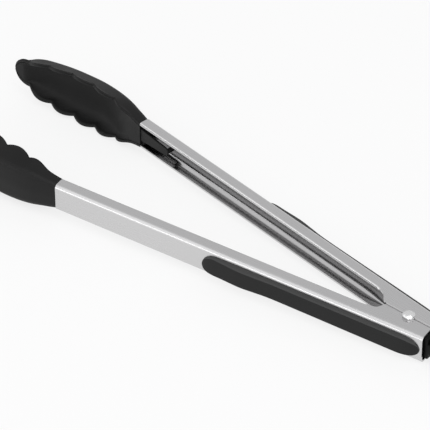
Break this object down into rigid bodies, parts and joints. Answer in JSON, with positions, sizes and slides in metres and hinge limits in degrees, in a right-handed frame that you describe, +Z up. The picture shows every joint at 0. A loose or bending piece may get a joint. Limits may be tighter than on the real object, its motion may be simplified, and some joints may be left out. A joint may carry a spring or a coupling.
{
  "type": "kitchen tongs",
  "caption": "Spring loaded locking kitchen tongs: two channel arms on a rivet, scalloped scoop heads, soft grip pads and a pull tab that locks them shut.",
  "frame": {"origin": "centre of the bounding box's base, with the tongs lying on their side and fully open", "axes": "+X from the heads toward the hanging tab, +Y from the front arm toward the rear arm, +Z up along the pivot rivet"},
  "size_m": [0.315, 0.0846, 0.0312],
  "materials": {
    "arm_steel": "fine satin, grain along the arm",
    "head_nylon": "moulded nylon, fine matte texture",
    "grip_rubber": "soft matte",
    "rivet_steel": "polished",
    "spring_steel": "drawn wire",
    "slider_plastic": "moulded, satin"
  },
  "bodies": {
    "pivot": {"pivot_rivet": "rivet_steel", "spring_bush": "slider_plastic", "torsion_spring": "spring_steel"},
    "rear_side": {"rear_arm": "arm_steel", "rear_head": "head_nylon", "rear_grip": "grip_rubber"},
    "front_side": {"front_arm": "arm_steel", "front_head": "head_nylon", "front_grip": "grip_rubber"},
    "slider": {"lock_slider": "slider_plastic"}
  },
  "joints": [
    {"name": "front_arm_hinge", "type": "hinge", "parent": "pivot", "child": "front_side", "pos_m": [0.12649, 0, 0.0156], "axis": [0, 0, -1], "range_deg": [0, 6], "stiffness_Nm_per_rad": 0.8, "springref_deg": -51.57, "deforming": ["torsion_spring"]},
    {"name": "rear_arm_hinge", "type": "hinge", "parent": "pivot", "child": "rear_side", "pos_m": [0.12649, 0, 0.0156], "axis": [0, 0, 1], "range_deg": [0, 6], "stiffness_Nm_per_rad": 0.8, "springref_deg": -51.57},
    {"name": "lock_slide", "type": "slide", "parent": "pivot", "child": "slider", "axis": [1, 0, 0], "range_m": [0, 0.01]}
  ],
  "couplings": [
    {"joint": "rear_arm_hinge", "follows": "front_arm_hinge", "ratio": 1}
  ]
}
